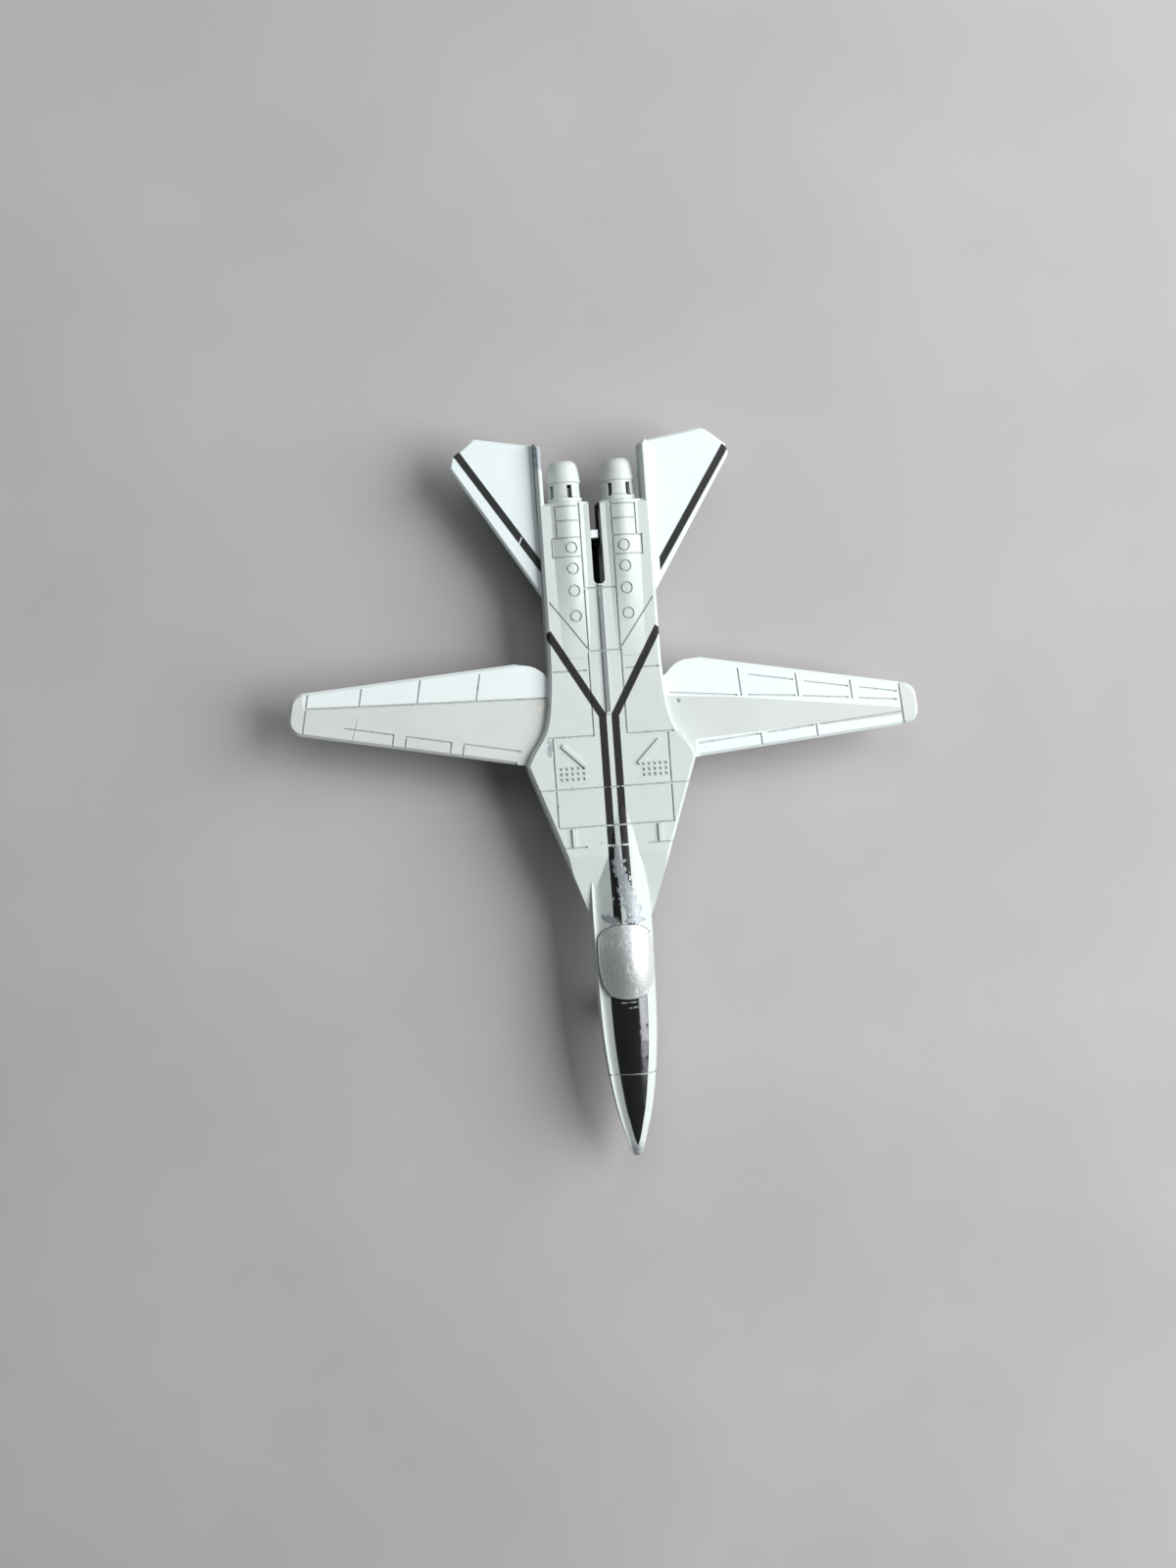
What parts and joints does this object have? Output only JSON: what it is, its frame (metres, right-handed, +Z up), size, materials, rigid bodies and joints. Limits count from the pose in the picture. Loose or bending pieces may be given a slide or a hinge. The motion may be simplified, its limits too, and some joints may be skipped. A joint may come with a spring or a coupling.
{
  "type": "die-cast toy swing-wing jet",
  "caption": "Small worn die-cast swing-wing jet: two-piece metal body, pivoting wings, white tailplanes, tailpipes and free wheels; its fin is missing.",
  "frame": {"origin": "centre of the overall plan box, on the ground under the wheels", "axes": "+X to port (the span), -Y towards the nose, +Z up"},
  "size_m": [0.1013, 0.1158, 0.0142],
  "materials": {
    "painted_casting": "worn warm grey gloss paint over die-cast zinc, black printed stripes, chipped to bare metal",
    "painted_wing": "worn warm grey paint with white printed flap areas",
    "white_plastic": "bright white semi-gloss moulding with a black printed stripe",
    "pale_plastic": "satin pale grey moulding",
    "silvered_plastic": "scratched silver paint",
    "steel_pin": "plain zinc-plated steel",
    "grey_plastic": "satin grey moulding",
    "black_plastic": "satin black moulding"
  },
  "bodies": {
    "fuselage": {"upper_fuselage": "painted_casting", "lower_fuselage": "painted_casting", "port_tailplane": "white_plastic", "starboard_tailplane": "white_plastic", "port_nozzle": "pale_plastic", "starboard_nozzle": "pale_plastic", "canopy": "silvered_plastic", "port_wing_pivot": "steel_pin", "starboard_wing_pivot": "steel_pin", "body_screws": "steel_pin", "fin_root_tab": "white_plastic", "nose_gear_leg": "grey_plastic", "nose_axle": "steel_pin", "main_gear_bracket": "grey_plastic", "main_axle": "steel_pin"},
    "port_wing": {"port_wing": "painted_wing"},
    "starboard_wing": {"starboard_wing": "painted_wing"},
    "nose_wheel": {"nose_wheel": "black_plastic"},
    "port_main_wheel": {"port_main_wheel": "black_plastic"},
    "starboard_main_wheel": {"starboard_main_wheel": "black_plastic"}
  },
  "joints": [
    {"name": "port_wing_sweep", "type": "hinge", "parent": "fuselage", "child": "port_wing", "pos_m": [0.0085, 0.012, 0.0093], "axis": [0, 0, 1], "range_deg": [0, 60]},
    {"name": "starboard_wing_sweep", "type": "hinge", "parent": "fuselage", "child": "starboard_wing", "pos_m": [-0.0085, 0.012, 0.0093], "axis": [0, 0, -1], "range_deg": [-6.6, 53.4]},
    {"name": "nose_wheel_spin", "type": "hinge", "parent": "fuselage", "child": "nose_wheel", "pos_m": [0, -0.034, 0.0023], "axis": [1, 0, 0], "continuous": true},
    {"name": "port_main_wheel_spin", "type": "hinge", "parent": "fuselage", "child": "port_main_wheel", "pos_m": [0.00445, 0.017, 0.0028], "axis": [1, 0, 0], "continuous": true},
    {"name": "starboard_main_wheel_spin", "type": "hinge", "parent": "fuselage", "child": "starboard_main_wheel", "pos_m": [-0.00445, 0.017, 0.0028], "axis": [1, 0, 0], "continuous": true}
  ]
}
